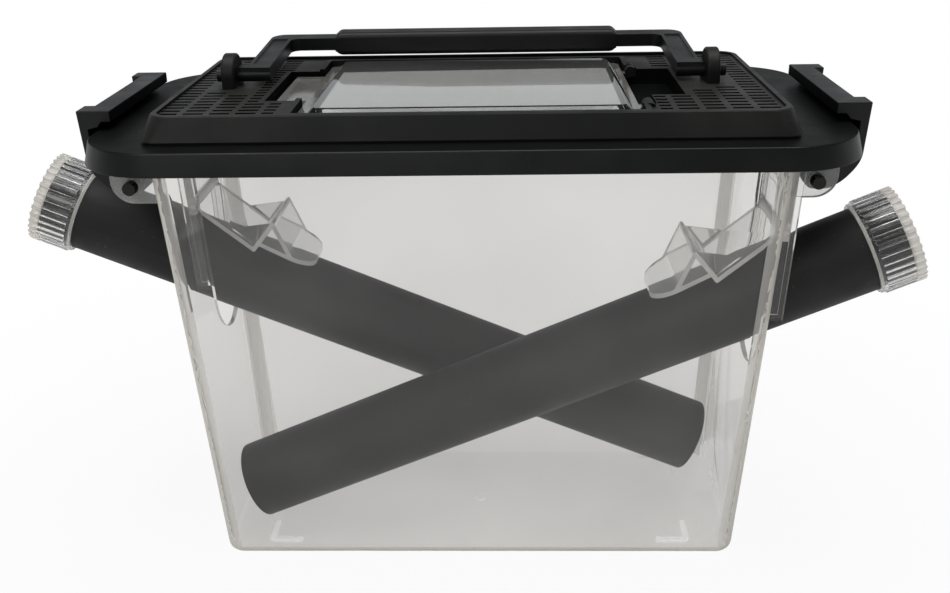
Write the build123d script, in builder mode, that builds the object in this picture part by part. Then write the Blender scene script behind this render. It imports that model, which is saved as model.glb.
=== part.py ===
from build123d import *
import os
from math import atan, atan2, cos, degrees, radians, sin

# Cricket keeper box: a clear tapered tub with two black hide tubes crossing inside it, a vented
# black lid with a clear door and a bail handle, and two side latches that hook over the lid.
# Millimetres, +Z up, -Y is the front. The origin is the centre of the tub floor's underside.
# The right-hand port carries the front tube and the left-hand port the rear one, so each side
# piece is the other one turned by half a turn about Z.

# Clearances
running = 0.08          # radial, pin in bore
push_fit = 0.1          # radial, cap on tube
slide_gap = 0.3         # loose plate in its guide
seat_gap = 0.3          # rest gap of a rounded piece over its seat

# Tub
floor_width = 229.4
floor_depth = 89.0
mouth_width = 251.2
mouth_depth = 109.8
tub_height = 194.4
tub_corner = 8.0
wall = 2.1
floor_thickness = 2.4
bottom_round = 4.6
rim_width = 3.6
rim_thickness = 2.2
floor_rib_length = 14.0
floor_rib_width = 2.4
floor_rib_height = 0.8
floor_rib_side = 19.7   # in from the floor's ends
floor_rib_edge = 9.1    # in from its front and back
gate_radius = 2.8
gate_height = 0.5

# Tubes and caps
tube_spacing = 41.0     # between the two tube axes, in Y
tube_tilt = 22.8        # above the horizontal
tube_start_x = 103.0    # inner end's distance from the centre plane
tube_start_z = 25.4
front_tube_length = 304.4
front_tube_short = 1.2  # the front tube's inner end sits this much further along
rear_tube_length = 322.2
tube_inner_radius = 17.3
tube_outer_radius = 18.2
tube_wall = 1.9
cap_radius = 20.8
cap_length = 19.4
cap_end = 3.4
cap_gap = 0.6           # between the tube's end and the cap's end wall
cap_ring_radius = 20.0
cap_ring_length = 2.6
cap_chamfer = 0.7
flute_count = 36
flute_radius = 1.1

# Side ports
slot_half_width = 20.0
slot_bottom = 87.8      # along the wall, from the floor's plane
rail_bottom = 115.5
rail_top_drop = 4.4      # below the tub's rim
rail_reach = 5.2
rail_leg = 2.0
rail_lip = 2.0
rail_lip_width = 3.0
rail_foot = 2.4
plate_thickness = 2.8
plate_bottom = 156.6
plate_round = 2.0
lug_drop = 7.0
lug_width = 2.4
grip_bar_width = 26.0
grip_bar_height = 3.0
grip_bar_reach = 1.6
grip_bar_level = 168.0

# Flaps
flap_half_width = 19.3
flap_plate = 1.9
flap_barrel_radius = 2.3
flap_pin_radius = 1.2
flap_side_gap = 0.5
hinge_level = 152.8     # along the wall
fold_reach = 25.2       # hinge to fold line, in X
step_height = 3.6
ridge_height = 15.0
tongue_reach = 25.9     # fold line to tip, in X
tongue_drop = 12.4
tent_foot = 0.6         # where the tent's inner face meets the tongue, share of the tongue
tongue_round = 11.0
gusset_thickness = 1.3
gusset_inset = 3.0
gusset_reach = 12.6

# Latches
latch_front = 40.5
latch_back = 37.4
ear_inner = 41.1
latch_pivot_x = 134.6
latch_pivot_drop = 19.7  # tub's rim down to the latch pin
latch_pin_radius = 2.7
latch_pin_length = 7.0    # beyond each ear's inner face
latch_hub_radius = 4.3
latch_rise = 10.0         # tub's rim up to the latch's top
latch_lip = 4.5
latch_inner_x = 140.4
latch_outer_x = 153.8
latch_side = 3.2
latch_flange_gap = 1.2
latch_recess_front = 30.5
latch_recess_back = 28.7
latch_recess_depth = 4.2
latch_recess_height = 11.0
ear_thickness = 3.0
ear_drop = 26.6          # tub's rim down to the ear's lower edge
ear_reach = 142.9
ear_round = 9.0

# Lid frame
flange_width = 292.6
flange_depth = 153.4
flange_corner = 30.6
flange_thickness = 2.4
skirt_height = 8.7
skirt_wall = 2.4
skirt_draft = 2.2
flange_edge = 0.8
collar_depth = 8.0
collar_wall = 3.0
collar_clearance = 0.5

# Lid deck
deck_width = 240.0
deck_depth = 122.4
deck_height = 9.8
deck_draft_x = 3.0
deck_draft_y = 5.0
deck_corner = 9.0
deck_foot_corner = 5.0
deck_wall = 2.6
deck_plate = 2.4
deck_edge = 0.9
deck_rim_width = 2.2
deck_rim_height = 1.0
spigot_depth = 4.0
spigot_wall = 1.8
undercut_depth = 1.2
undercut_height = 1.0

# Vents in the deck, on each side
vent_rows = 21
vent_row_pitch = 5.25
vent_slot_width = 2.3
vent_slot_length = 7.7
vent_column_pitch = 10.0
vent_outer_column = 114.2
vent_right_shift = -2.0  # the right-hand vents sit nearer the door
vent_columns = 4
vent_short_column = 75.9
vent_short_length = 4.6
pad_outer_length = 12.6  # plain deck beside each handle ear, half length
pad_inner_length = 18.0
pad_width = 9.0

# Door
door_left = 66.4
door_right = 65.8
door_front = 57.2
door_back = 48.4
door_gap = 0.5
door_hinge_gap = 0.8    # on the hinge side, so that the door clears the rim as it turns
door_flange = 2.0
door_corner = 4.0
door_seat = 4.6         # deck rim top down to the door's seat
door_seat_plate = 2.2
opening_width = 116.0
opening_front = 45.4
opening_back = 41.0
window_rise = 3.1
window_wall = 1.8
window_width = 124.0
window_front = 54.4
window_back = 45.4
window_bevel = 3.0
window_corner = 4.0
door_hinge_x = 68.3
door_hinge_drop = 2.0   # deck rim top down to the hinge axis
door_barrel_radius = 2.3
door_pin_radius = 1.5
door_pin_length = 4.0
door_lug_length = 5.0
boss_radius = 2.4
boss_length = 5.0
boss_front = 44.2
boss_back = 28.2
hinge_channel = 71.2
tab_reach = 10.2
tab_half_length = 24.0
tab_lip = 1.8
tab_lip_drop = 2.2

# Finger wells
left_well_front = 31.3
left_well_back = 27.8
right_well_front = 28.1
right_well_back = 24.7
well_depth = 7.6
well_floor = 1.5
left_well_edge = 81.4
right_well_edge = 84.6

# Handle
handle_pivot_rise = 3.4  # deck's top up to the handle's pin
handle_ear_x = 99.8
handle_ear_shift = -1.1 # both ears, in X
handle_ear_thickness = 5.4
handle_ear_radius = 9.0
handle_pin_radius = 2.8
handle_pin_overhang = 3.4
handle_foot_front = 2.3
handle_foot_back = 3.6
handle_foot_height = 4.6
handle_side_gap = 0.3
handle_tilt = 3.4       # stored angle above the horizontal
arm_outer_x = 94.2
arm_width = 9.8
arm_top = 3.5           # above the pivot axis, square to the bail
arm_thickness = 5.6
bar_near = 50.5
bar_far = 59.5
bail_outer_round = 6.5
bail_inner_round = 4.5
panel_depth = 0.6
panel_border = 1.5
grip_length = 129.0
grip_wall_side = 1.2
grip_wall_top = 2.3
grip_round = 2.4
grip_fit = 0.05

# Worked out from the sizes above
lean = degrees(atan((mouth_width - floor_width) / 2 / tub_height))
tube_offset = tube_spacing / 2
tube_radius_max = max(tube_inner_radius, tube_outer_radius)
plate_half_width = flap_half_width + flap_side_gap + lug_width
channel_half_width = plate_half_width + slide_gap
hinge_out = (slide_gap + plate_thickness) / 2
rail_top = tub_height - rail_top_drop
latch_pivot_z = tub_height - latch_pivot_drop
latch_top = tub_height + latch_rise
ear_bottom = tub_height - ear_drop
flange_top = tub_height + flange_thickness
skirt_bottom = flange_top - skirt_height
deck_top = flange_top + deck_height
handle_pivot_z = deck_top + handle_pivot_rise
panel_top = deck_top - deck_rim_height
panel_bottom = panel_top - deck_plate
latch_centre_y = (latch_back - latch_front) / 2
latch_half_length = (latch_front + latch_back) / 2
collar_bottom = tub_height - collar_depth


def wall_at(height, inner=0.0):
    """The tub's width and depth at a height, less a wall on every side."""
    share = height / tub_height
    width = floor_width + (mouth_width - floor_width) * share - 2 * inner
    depth = floor_depth + (mouth_depth - floor_depth) * share - 2 * inner
    return width, depth


def wall_plane(side):
    """The outer face of a side wall: local X along the wall, local Y up it, Z outwards."""
    origin = (side * floor_width / 2, -side * tube_offset, 0)
    outward = (side * cos(radians(lean)), 0, -sin(radians(lean)))
    return Plane(origin=origin, x_dir=(0, side, 0), z_dir=outward)


def section_plane(side, y=0.0):
    """An upright plane across Y: local X points away from the centre, local Y up."""
    return Plane(origin=(0, y, 0), x_dir=(side, 0, 0), z_dir=(0, -side, 0))


def tube_plane(side, along=0.0):
    """Square to a tube's axis, at a distance along it from the inner end, Z outwards."""
    slope = radians(tube_tilt)
    origin = (
        side * (along * cos(slope) - tube_start_x),
        -side * tube_offset,
        tube_start_z + along * sin(slope),
    )
    axis = (side * cos(slope), 0, sin(slope))
    return Plane(origin=origin, x_dir=(0, side, 0), z_dir=axis)


def save(part, name):
    part.label = name
    export_step(part, f"parts/{name}.step")


os.makedirs("parts", exist_ok=True)

# ---------------------------------------------------------------- tub
with BuildPart() as tub:
    with BuildSketch():
        RectangleRounded(floor_width, floor_depth, tub_corner)
    with BuildSketch(Plane.XY.offset(tub_height)):
        RectangleRounded(mouth_width, mouth_depth, tub_corner)
    loft()
    fillet(tub.edges().group_by(Axis.Z)[0], radius=bottom_round)
    # turned-out rim
    with BuildSketch(Plane.XY.offset(tub_height - rim_thickness)):
        RectangleRounded(mouth_width + 2 * rim_width, mouth_depth + 2 * rim_width, tub_corner + rim_width)
    extrude(amount=rim_thickness)
    # latch ears, two on each side
    for end in (-1, 1):
        for side in (-1, 1):
            with BuildSketch(section_plane(side, end * (ear_inner + ear_thickness / 2))):
                with BuildLine():
                    Polyline(
                        (floor_width / 2, tub_height - rim_thickness),
                        (floor_width / 2, ear_bottom),
                        (ear_reach - ear_round, ear_bottom),
                    )
                    RadiusArc(
                        (ear_reach - ear_round, ear_bottom), (ear_reach, ear_bottom + ear_round), -ear_round
                    )
                    Polyline(
                        (ear_reach, ear_bottom + ear_round),
                        (ear_reach, skirt_bottom + 2 * slide_gap),
                        (floor_width / 2 + rim_width * 4, tub_height - rim_thickness),
                        (floor_width / 2, tub_height - rim_thickness),
                    )
                make_face()
                with Locations((latch_pivot_x, latch_pivot_z)):
                    Circle(latch_pin_radius + running, mode=Mode.SUBTRACT)
            extrude(amount=ear_thickness / 2, both=True)
    # rails that guide each port plate: a leg, a lip turned over the plate and a foot
    for side in (-1, 1):
        rail_height = rail_top - rail_bottom
        rail_middle = (rail_top + rail_bottom) / 2
        with BuildSketch(wall_plane(side).offset(-wall)):
            for hand in (-1, 1):
                with Locations((hand * (channel_half_width + rail_leg / 2), rail_middle)):
                    Rectangle(rail_leg, rail_height)
        extrude(amount=wall + rail_reach)
        with BuildSketch(wall_plane(side).offset(rail_reach - rail_lip)):
            for hand in (-1, 1):
                with Locations((hand * (channel_half_width + rail_leg - rail_lip_width / 2), rail_middle)):
                    Rectangle(rail_lip_width, rail_height)
        extrude(amount=rail_lip)
        with BuildSketch(wall_plane(side).offset(-wall)):
            for hand in (-1, 1):
                foot_x = hand * (channel_half_width + rail_leg - rail_lip_width / 2)
                with Locations((foot_x, rail_bottom + rail_foot / 2)):
                    Rectangle(rail_lip_width, rail_foot)
        extrude(amount=wall + rail_reach)
        # the channel the plate slides down, from the rim to the feet
        channel_bottom = rail_bottom + rail_foot
        with BuildSketch(wall_plane(side)):
            with Locations((0, (channel_bottom + tub_height * 1.1) / 2)):
                Rectangle(2 * channel_half_width, tub_height * 1.1 - channel_bottom)
        extrude(amount=rail_reach - rail_lip, mode=Mode.SUBTRACT)
    # the inside
    with BuildSketch(Plane.XY.offset(floor_thickness)):
        RectangleRounded(*wall_at(floor_thickness, wall), tub_corner - wall)
    with BuildSketch(Plane.XY.offset(tub_height)):
        RectangleRounded(*wall_at(tub_height, wall), tub_corner - wall)
    loft(mode=Mode.SUBTRACT)
    # port slots, open at the rim
    for side in (-1, 1):
        slot_centre = slot_bottom + slot_half_width
        slot_top = tub_height * 1.1
        with BuildSketch(wall_plane(side)):
            with Locations((0, slot_centre)):
                Circle(slot_half_width)
            with Locations((0, (slot_centre + slot_top) / 2)):
                Rectangle(2 * slot_half_width, slot_top - slot_centre)
        extrude(amount=rail_reach * 3, both=True, mode=Mode.SUBTRACT)
    # low L-shaped ribs in the floor's corners and the moulding gate's round
    rib_x = floor_width / 2 - floor_rib_side
    rib_y = floor_depth / 2 - floor_rib_edge
    with BuildSketch(Plane.XY.offset(floor_thickness)):
        for sx in (-1, 1):
            for sy in (-1, 1):
                with Locations((sx * (rib_x - floor_rib_length / 2), sy * rib_y)):
                    Rectangle(floor_rib_length, floor_rib_width)
                with Locations((sx * rib_x, sy * (rib_y - floor_rib_length / 2))):
                    Rectangle(floor_rib_width, floor_rib_length)
    extrude(amount=floor_rib_height)
    with BuildSketch(Plane.XY.offset(floor_thickness)):
        Circle(gate_radius)
    extrude(amount=gate_height)
save(tub.part, "tub")

# ---------------------------------------------------------------- side ports and their flaps
for side, hand_name in ((1, "right"), (-1, "left")):
    face = wall_plane(side)
    with BuildPart() as port_plate:
        plate_middle = (plate_bottom + rail_top) / 2
        plate_height = rail_top - plate_bottom
        with BuildSketch(face.offset(slide_gap / 2)):
            with Locations((0, plate_middle)):
                Rectangle(2 * plate_half_width, plate_height)
            for hand in (-1, 1):
                lug_x = hand * (plate_half_width - lug_width / 2)
                with Locations((lug_x, plate_bottom - lug_drop / 2 + plate_round / 2)):
                    Rectangle(lug_width, lug_drop + plate_round)
        extrude(amount=plate_thickness)
        with BuildSketch(face.offset(slide_gap / 2 + plate_thickness)):
            with Locations((0, grip_bar_level)):
                Rectangle(grip_bar_width, grip_bar_height)
        extrude(amount=grip_bar_reach)
        pin_line = Plane(
            origin=face.from_local_coords((0, hinge_level, hinge_out)), x_dir=face.z_dir, z_dir=face.x_dir
        )
        with BuildSketch(pin_line):
            Circle(flap_pin_radius + running)
        extrude(amount=2 * plate_half_width, both=True, mode=Mode.SUBTRACT)
    save(port_plate.part, f"port_plate_{hand_name}")

    hinge = face.from_local_coords((0, hinge_level, hinge_out))
    hinge_x = side * hinge.X
    hinge_z = hinge.Z
    fold_x = hinge_x - fold_reach
    slope = radians(tube_tilt)
    tube_top = tube_start_z + (fold_x + tube_start_x) * sin(slope) / cos(slope)
    fold_z = tube_top + (tube_radius_max + flap_plate / 2) / cos(slope) + seat_gap
    fold = (fold_x, fold_z)
    panel_angle = degrees(atan((hinge_z - fold_z) / fold_reach))
    across = (-sin(radians(panel_angle)), cos(radians(panel_angle)))
    ridge = (fold_x + across[0] * ridge_height, fold_z + across[1] * ridge_height)
    step = (fold_x + across[0] * step_height, fold_z + across[1] * step_height)
    tip = (fold_x - tongue_reach, step[1] - tongue_drop)
    foot = (step[0] + (tip[0] - step[0]) * tent_foot, step[1] + (tip[1] - step[1]) * tent_foot)
    middle = section_plane(side, -side * tube_offset)

    with BuildPart() as flap:
        # the bent sheet: panel, riser, tent face and tongue, each a plate with round ends
        with BuildSketch(middle):
            for start, stop in (((hinge_x, hinge_z), fold), (fold, ridge), (ridge, foot), (step, tip)):
                run = Vector(*stop) - Vector(*start)
                with Locations(Vector(*start) + run / 2):
                    SlotCenterToCenter(run.length, flap_plate, rotation=degrees(atan2(run.Y, run.X)))
        extrude(amount=flap_half_width, both=True)
        # the tongue's rounded end, cut through from above
        with BuildSketch(Plane.XY):
            with Locations((side * (tip[0] + 50), -side * tube_offset)):
                RectangleRounded(100, 2 * flap_half_width, tongue_round)
            with Locations((side * (hinge_x), -side * tube_offset)):
                Rectangle(60, 2 * flap_half_width)
        extrude(amount=tub_height, mode=Mode.INTERSECT)
        # gussets between riser and panel
        for hand in (-1, 1):
            gusset_y = -side * tube_offset + hand * (flap_half_width - gusset_inset)
            with BuildSketch(section_plane(side, gusset_y)):
                gusset_end = (
                    fold_x + cos(radians(panel_angle)) * gusset_reach,
                    fold_z + sin(radians(panel_angle)) * gusset_reach + flap_plate / 2,
                )
                with BuildLine():
                    Polyline(fold, gusset_end, ridge, close=True)
                make_face()
            extrude(amount=gusset_thickness / 2, both=True)
        # hinge barrel and its two pins
        barrel = Plane(origin=hinge, x_dir=(1, 0, 0), z_dir=(0, 1, 0))
        with BuildSketch(barrel):
            Circle(flap_barrel_radius)
        extrude(amount=flap_half_width, both=True)
        with BuildSketch(barrel):
            Circle(flap_pin_radius)
        extrude(amount=plate_half_width - slide_gap, both=True)
    save(flap.part, f"flap_{hand_name}")

# ---------------------------------------------------------------- hide tubes and their caps
for side, place, tube_short, tube_length in (
    (1, "front", front_tube_short, front_tube_length),
    (-1, "rear", 0.0, rear_tube_length),
):
    with BuildPart() as tube:
        for shell, change in ((0, Mode.ADD), (tube_wall, Mode.SUBTRACT)):
            with BuildSketch(tube_plane(side, tube_short)):
                Circle(tube_inner_radius - shell)
            with BuildSketch(tube_plane(side, tube_length)):
                Circle(tube_outer_radius - shell)
            loft(mode=change)
    save(tube.part, f"tube_{place}")

    cap_start = tube_length + cap_gap + cap_end - cap_length
    cap_bore = cap_length - cap_end
    with BuildPart() as cap:
        with BuildSketch(tube_plane(side, cap_start)):
            Circle(cap_ring_radius)
        extrude(amount=cap_ring_length)
        chamfer(cap.faces().sort_by_distance(tube_plane(side, cap_start).origin)[0].edges(), cap_chamfer)
        with BuildSketch(tube_plane(side, cap_start + cap_ring_length)):
            Circle(cap_radius)
        extrude(amount=cap_length - cap_ring_length)
        end_face = cap.faces().sort_by_distance(tube_plane(side, cap_start + cap_length).origin)[0]
        chamfer(end_face.edges(), cap_chamfer)
        with BuildSketch(tube_plane(side, cap_start + cap_ring_length)):
            with PolarLocations(cap_radius, flute_count):
                Circle(flute_radius)
        extrude(amount=cap_length, mode=Mode.SUBTRACT)
        with BuildSketch(tube_plane(side, cap_start)):
            Circle(tube_outer_radius + push_fit)
        extrude(amount=cap_bore, mode=Mode.SUBTRACT)
    save(cap.part, f"cap_{place}")

# ---------------------------------------------------------------- latches
skirt_outer_x = flange_width / 2 + skirt_draft
inner_x = skirt_outer_x + latch_flange_gap
lip_bottom = latch_top - latch_lip
for side, hand_name in ((1, "right"), (-1, "left")):
    with BuildPart() as latch:
        with BuildSketch(section_plane(side, latch_centre_y)):
            with BuildLine():
                Polyline(
                    (latch_inner_x, lip_bottom),
                    (latch_inner_x, latch_top),
                    (latch_outer_x, latch_top),
                    (inner_x + latch_side - 0.4, skirt_bottom - 3),
                )
                Spline(
                    (inner_x + latch_side - 0.4, skirt_bottom - 3),
                    (latch_pivot_x + 14, latch_pivot_z + 1.8),
                    (latch_pivot_x + 4, latch_pivot_z - latch_hub_radius),
                    tangents=[(-0.05, -1), (-1, -0.12)],
                )
                Line(
                    (latch_pivot_x + 4, latch_pivot_z - latch_hub_radius),
                    (latch_pivot_x, latch_pivot_z - latch_hub_radius),
                )
                Polyline(
                    (latch_pivot_x, latch_pivot_z - latch_hub_radius),
                    (latch_pivot_x, latch_pivot_z + latch_hub_radius),
                    (latch_pivot_x + 8, latch_pivot_z + latch_hub_radius + 1),
                )
                Spline(
                    (latch_pivot_x + 8, latch_pivot_z + latch_hub_radius + 1),
                    (inner_x, skirt_bottom - 1),
                    tangents=[(1, 0.2), (0.05, 1)],
                )
                Polyline(
                    (inner_x, skirt_bottom - 1),
                    (inner_x, flange_top + seat_gap),
                    (inner_x - 4, flange_top + 1.2),
                    (inner_x - 5.5, lip_bottom),
                    (latch_inner_x, lip_bottom),
                )
            make_face()
            with Locations((latch_pivot_x, latch_pivot_z)):
                Circle(latch_hub_radius)
        extrude(amount=latch_half_length, both=True)
        # finger recess along the middle of the outer top edge
        with BuildSketch(section_plane(side, (latch_recess_back - latch_recess_front) / 2)):
            with BuildLine():
                Polyline(
                    (latch_outer_x - latch_recess_depth, latch_top + 1),
                    (latch_outer_x + 5, latch_top + 1),
                    (latch_outer_x + 5, latch_top - latch_recess_height),
                    (latch_outer_x - 0.6, latch_top - latch_recess_height),
                    (latch_outer_x - latch_recess_depth, latch_top - latch_lip - 1),
                    close=True,
                )
            make_face()
        extrude(amount=(latch_recess_front + latch_recess_back) / 2, both=True, mode=Mode.SUBTRACT)
        with BuildSketch(section_plane(side)):
            with Locations((latch_pivot_x, latch_pivot_z)):
                Circle(latch_pin_radius)
        extrude(amount=ear_inner + latch_pin_length, both=True)
    save(latch.part, f"latch_{hand_name}")

# ---------------------------------------------------------------- lid frame
with BuildPart() as lid_frame:
    skirt_grow = 2 * skirt_draft
    with BuildSketch(Plane.XY.offset(skirt_bottom)):
        RectangleRounded(flange_width + skirt_grow, flange_depth + skirt_grow, flange_corner + skirt_draft)
    with BuildSketch(Plane.XY.offset(flange_top)):
        RectangleRounded(flange_width, flange_depth, flange_corner)
    loft()
    fillet(lid_frame.faces().sort_by(Axis.Z)[-1].edges(), radius=flange_edge)
    # hollow underside, with the same draft
    shell = 2 * skirt_wall
    top_shrink = shell - skirt_grow * flange_thickness / skirt_height
    with BuildSketch(Plane.XY.offset(skirt_bottom)):
        RectangleRounded(
            flange_width + skirt_grow - shell,
            flange_depth + skirt_grow - shell,
            flange_corner + skirt_draft - skirt_wall,
        )
    with BuildSketch(Plane.XY.offset(tub_height)):
        RectangleRounded(
            flange_width - top_shrink, flange_depth - top_shrink, flange_corner - top_shrink / 2
        )
    loft(mode=Mode.SUBTRACT)
    # locating collar inside the tub's mouth, and the opening through it
    collar_width, collar_size = wall_at(collar_bottom, wall + collar_clearance)
    opening_corner = tub_corner - wall - collar_clearance
    with BuildSketch(Plane.XY.offset(collar_bottom)):
        RectangleRounded(collar_width, collar_size, opening_corner)
    extrude(amount=flange_top - collar_bottom)
    with BuildSketch(Plane.XY.offset(collar_bottom)):
        RectangleRounded(collar_width - 2 * collar_wall, collar_size - 2 * collar_wall, opening_corner / 2)
    extrude(amount=flange_top, mode=Mode.SUBTRACT)
save(lid_frame.part, "lid_frame")

# ---------------------------------------------------------------- lid deck
door_middle_x = (door_right - door_left) / 2
door_middle_y = (door_back - door_front) / 2
door_floor = deck_top - door_seat
hinge_z = deck_top - door_hinge_drop
foot_width = deck_width + 2 * deck_draft_x
foot_depth = deck_depth + 2 * deck_draft_y
spigot_width = collar_width - 2 * collar_wall - 2 * seat_gap
spigot_size = collar_size - 2 * collar_wall - 2 * seat_gap
well_bottom = deck_top - well_depth - well_floor
with BuildPart() as lid_top:
    with BuildSketch(Plane.XY.offset(flange_top)):
        RectangleRounded(foot_width, foot_depth, deck_foot_corner)
    with BuildSketch(Plane.XY.offset(deck_top)):
        RectangleRounded(deck_width, deck_depth, deck_corner)
    loft()
    fillet(lid_top.faces().sort_by(Axis.Z)[-1].edges(), radius=deck_edge)
    # shadow groove round the foot
    with BuildSketch(Plane.XY.offset(flange_top)):
        Rectangle(flange_width, flange_depth)
        RectangleRounded(
            foot_width - 2 * undercut_depth,
            foot_depth - 2 * undercut_depth,
            deck_foot_corner - undercut_depth,
            mode=Mode.SUBTRACT,
        )
    extrude(amount=undercut_height, mode=Mode.SUBTRACT)
    # hollow inside
    with BuildSketch(Plane.XY.offset(flange_top)):
        RectangleRounded(
            foot_width - 2 * (deck_wall + undercut_depth),
            foot_depth - 2 * (deck_wall + undercut_depth),
            deck_corner - deck_wall,
        )
    with BuildSketch(Plane.XY.offset(panel_bottom)):
        RectangleRounded(deck_width - 2 * deck_wall, deck_depth - 2 * deck_wall, deck_corner - deck_wall)
    loft(mode=Mode.SUBTRACT)
    # panel set below its rim
    with BuildSketch(Plane.XY.offset(panel_top)):
        RectangleRounded(
            deck_width - 2 * deck_rim_width, deck_depth - 2 * deck_rim_width, deck_corner - deck_rim_width
        )
    extrude(amount=deck_height, mode=Mode.SUBTRACT)
    # spigot that locates the deck in the frame's opening
    with BuildSketch(Plane.XY.offset(flange_top - spigot_depth)):
        RectangleRounded(spigot_width, spigot_size, spigot_wall)
        Rectangle(spigot_width - 2 * spigot_wall, spigot_size - 2 * spigot_wall, mode=Mode.SUBTRACT)
    extrude(amount=panel_bottom - flange_top + spigot_depth)
    # solid bodies for the door's recess and the finger wells
    recess_wall = door_seat_plate
    with BuildSketch(Plane.XY.offset(door_floor - door_seat_plate)):
        with Locations((door_middle_x, door_middle_y)):
            Rectangle(door_left + door_right + 2 * recess_wall, door_front + door_back + 2 * recess_wall)
    extrude(amount=deck_top - door_floor + door_seat_plate)
    wells = (
        (-left_well_edge, -door_left, left_well_front, left_well_back),
        (door_right + running, right_well_edge, right_well_front, right_well_back),
    )
    with BuildSketch(Plane.XY.offset(well_bottom)):
        for near, far, front, back in wells:
            with Locations(((near + far) / 2, (back - front) / 2)):
                Rectangle(far - near + 2 * recess_wall, front + back + 2 * recess_wall)
    extrude(amount=panel_top - well_bottom)
    with BuildSketch(Plane.XY.offset(door_floor)):
        with Locations((door_middle_x, door_middle_y)):
            Rectangle(door_left + door_right, door_front + door_back)
        # channel for the door's hinge lugs
        with Locations(((door_right + hinge_channel) / 2, (boss_back - boss_front) / 2)):
            Rectangle(hinge_channel - door_right, boss_front + boss_back)
    extrude(amount=deck_height, mode=Mode.SUBTRACT)
    with BuildSketch(Plane.XY.offset(well_bottom + well_floor)):
        for near, far, front, back in wells:
            with Locations(((near + far) / 2, (back - front) / 2)):
                Rectangle(far - near, front + back)
    extrude(amount=deck_height, mode=Mode.SUBTRACT)
    with BuildSketch(Plane.XY.offset(door_floor - door_seat_plate)):
        with Locations((0, (opening_back - opening_front) / 2)):
            Rectangle(opening_width, opening_front + opening_back)
    extrude(amount=deck_height, mode=Mode.SUBTRACT)
    # round-topped hinge sockets, just outside each end of the channel
    for y, length in ((-boss_front - boss_length, boss_length), (boss_back, boss_length)):
        socket = Plane(origin=(door_hinge_x, y, hinge_z), x_dir=(-1, 0, 0), z_dir=(0, 1, 0))
        with BuildSketch(socket):
            Circle(boss_radius)
            with Locations((0, (door_floor - hinge_z) / 2)):
                Rectangle(2 * boss_radius, hinge_z - door_floor)
        extrude(amount=length)
        with BuildSketch(socket):
            Circle(door_pin_radius + running)
        extrude(amount=length, mode=Mode.SUBTRACT)
    # vents
    with BuildSketch(Plane.XY.offset(panel_bottom)):
        for side in (-1, 1):
            shift = vent_right_shift if side > 0 else 0
            well_edge = right_well_edge if side > 0 else left_well_edge
            well_front = right_well_front if side > 0 else left_well_front
            well_back = right_well_back if side > 0 else left_well_back
            ear_x = handle_ear_x + side * handle_ear_shift
            for row in range(vent_rows):
                y = (row - (vent_rows - 1) / 2) * vent_row_pitch
                margin = vent_slot_width / 2 + recess_wall
                beside_well = -well_front - margin < y < well_back + margin
                for column in range(vent_columns):
                    middle_x = vent_outer_column - column * vent_column_pitch + shift
                    pad = pad_outer_length if middle_x > ear_x else pad_inner_length
                    if abs(middle_x - ear_x) < pad_width and abs(y) < pad:
                        continue
                    inner = middle_x - vent_slot_length / 2
                    outer = middle_x + vent_slot_length / 2
                    if beside_well:
                        inner = max(inner, well_edge + recess_wall)
                    if outer - inner > vent_slot_width:
                        with Locations((side * (inner + outer) / 2, y)):
                            Rectangle(outer - inner, vent_slot_width)
                if y < -well_front - margin:
                    with Locations((side * (vent_short_column + shift), y)):
                        Rectangle(vent_short_length, vent_slot_width)
    extrude(amount=deck_plate, mode=Mode.SUBTRACT)
    # handle ears with round tops
    for side in (-1, 1):
        with BuildSketch(Plane.YZ.offset(side * handle_ear_x + handle_ear_shift)):
            with Locations((0, handle_pivot_z)):
                Circle(handle_ear_radius)
            with Locations((0, (handle_pivot_z + panel_bottom) / 2)):
                Rectangle(2 * handle_ear_radius, handle_pivot_z - panel_bottom)
            with Locations((0, handle_pivot_z)):
                Circle(handle_pin_radius + running, mode=Mode.SUBTRACT)
        extrude(amount=handle_ear_thickness / 2, both=True)
save(lid_top.part, "lid_top")

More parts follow.
